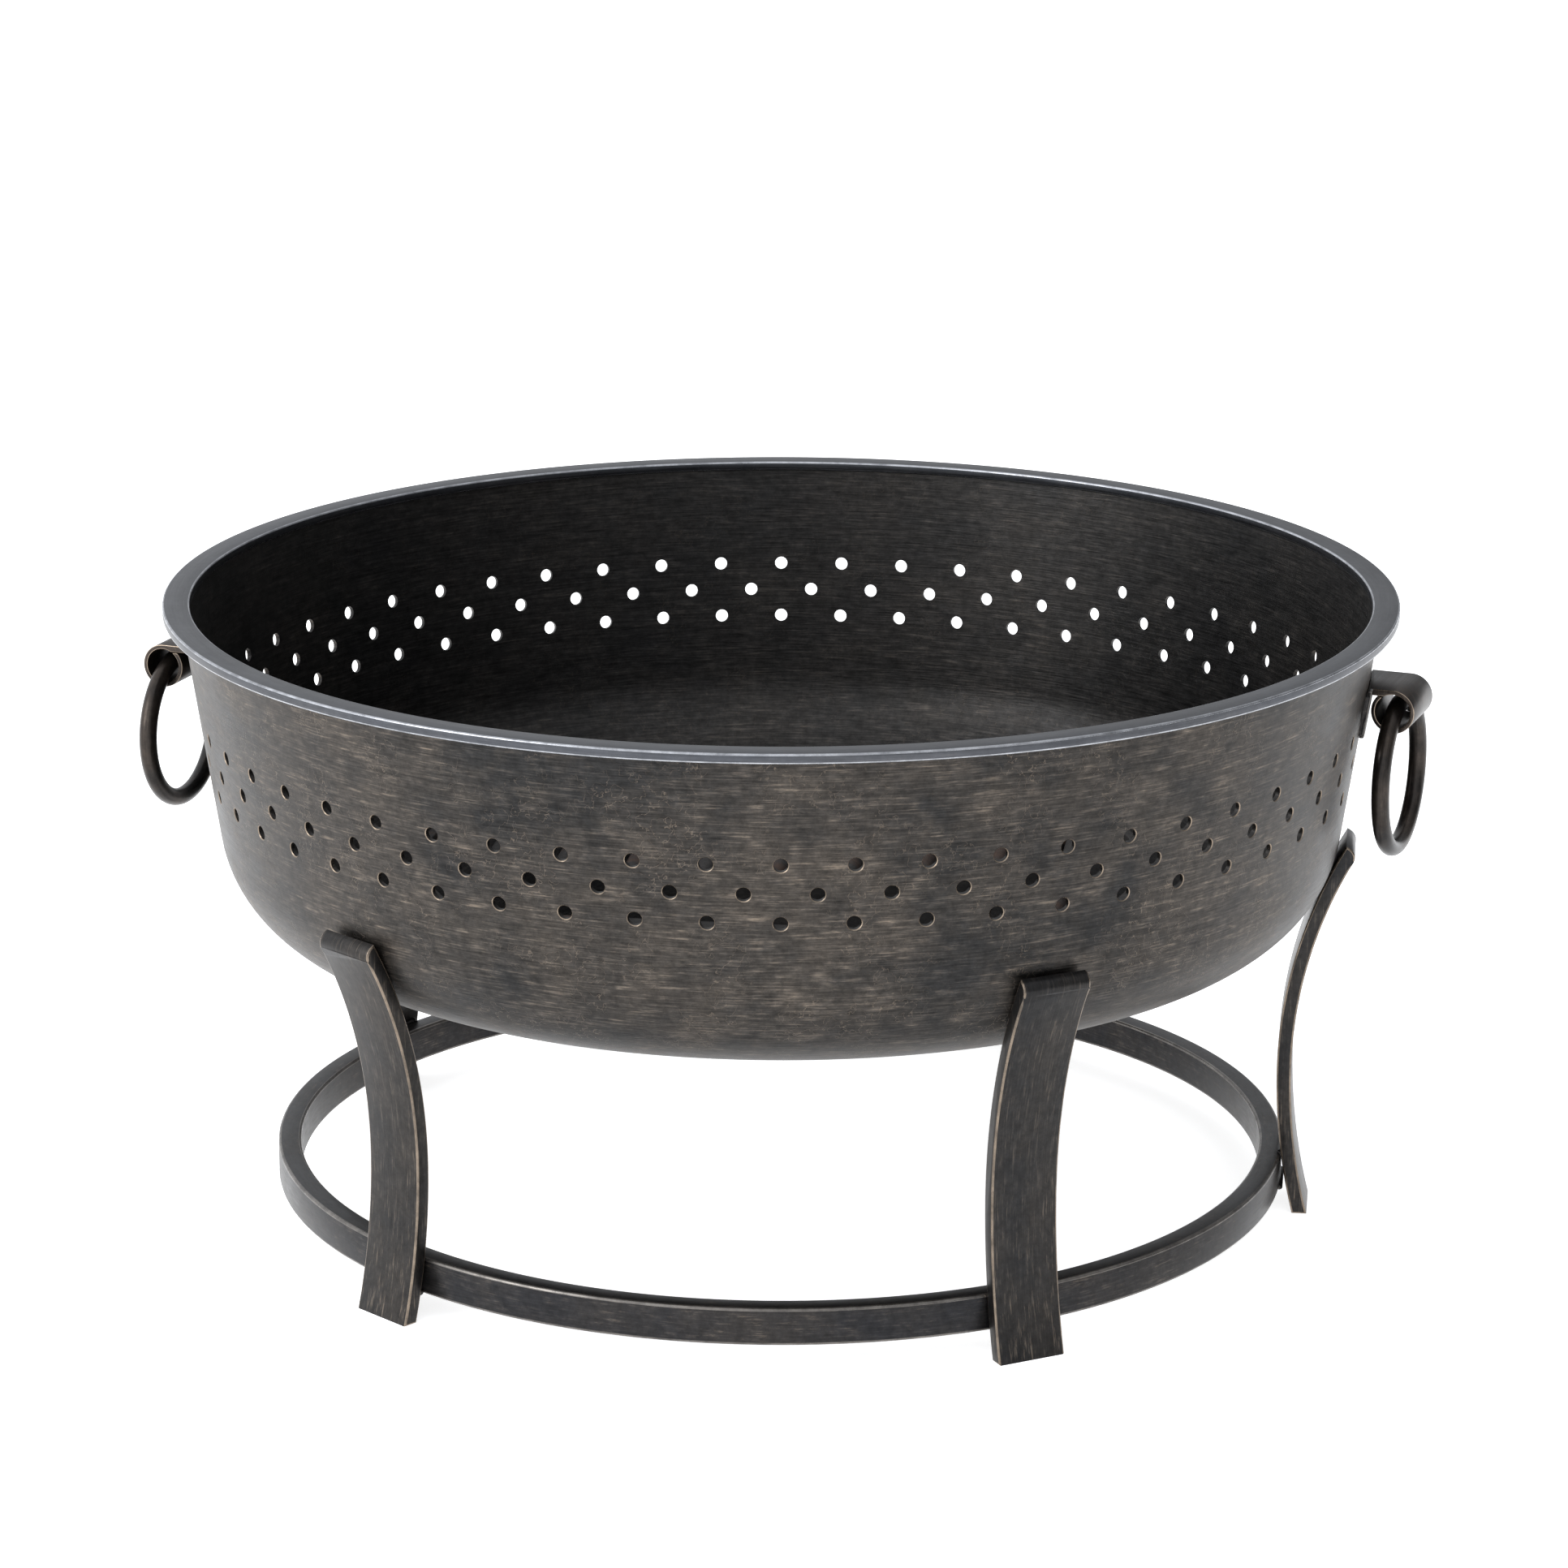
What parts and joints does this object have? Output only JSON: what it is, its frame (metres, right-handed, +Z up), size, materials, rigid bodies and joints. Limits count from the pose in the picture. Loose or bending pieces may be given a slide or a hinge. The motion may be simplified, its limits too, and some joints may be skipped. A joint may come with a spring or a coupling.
{
  "type": "fire pit with grate",
  "caption": "Round steel fire bowl with a flat rim, air holes and ring handles, standing in a ring stand on bent legs, with a lift-out grate inside.",
  "frame": {"origin": "on the ground, under the middle of the bowl", "axes": "+X across the two ring handles, +Z up; -Y is the front"},
  "size_m": [0.8026, 0.76, 0.388],
  "materials": {
    "bowl_steel": "dark bronze patina over finely brushed sheet, mottled brown and grey",
    "rim_steel": "satin blue-grey steel, worn bright on its edges",
    "stand_steel": "blackened satin bar, brushed along its length, worn tan on its edges",
    "handle_steel": "blackened round bar with brown patches",
    "grate_iron": "matt black, fire-scaled"
  },
  "bodies": {
    "stand": {"stand_ring": "stand_steel", "leg_1": "stand_steel", "leg_2": "stand_steel", "leg_3": "stand_steel", "leg_4": "stand_steel", "leg_5": "stand_steel"},
    "bowl": {"bowl_shell": "bowl_steel", "rim_ring": "rim_steel", "handle_plate_left": "stand_steel", "handle_plate_right": "stand_steel", "handle_eye_left": "stand_steel", "handle_eye_right": "stand_steel"},
    "grate": {"grate_ring": "grate_iron", "grate_bar_1": "grate_iron", "grate_bar_2": "grate_iron", "grate_bar_3": "grate_iron", "grate_bar_4": "grate_iron", "grate_bar_5": "grate_iron", "grate_bar_6": "grate_iron", "grate_bar_7": "grate_iron", "grate_bar_8": "grate_iron", "grate_bar_9": "grate_iron", "grate_cross_bar_front": "grate_iron", "grate_cross_bar_back": "grate_iron", "grate_foot_1": "grate_iron", "grate_foot_2": "grate_iron", "grate_foot_3": "grate_iron", "grate_foot_4": "grate_iron"},
    "ring_left": {"ring_handle_left": "handle_steel"},
    "ring_right": {"ring_handle_right": "handle_steel"}
  },
  "joints": [
    {"name": "bowl_lift", "type": "slide", "parent": "stand", "child": "bowl", "axis": [0, 0, 1], "range_m": [0, 0.3]},
    {"name": "grate_lift", "type": "slide", "parent": "bowl", "child": "grate", "axis": [0, 0, 1], "range_m": [0, 0.26]},
    {"name": "ring_right_swing", "type": "hinge", "parent": "bowl", "child": "ring_right", "pos_m": [0.383, 0, 0.3294], "axis": [-0.225, -0.9744, 0], "range_deg": [-12, 165]},
    {"name": "ring_left_swing", "type": "hinge", "parent": "bowl", "child": "ring_left", "pos_m": [-0.383, 0, 0.3294], "axis": [0.225, 0.9744, 0], "range_deg": [-12, 165]}
  ]
}
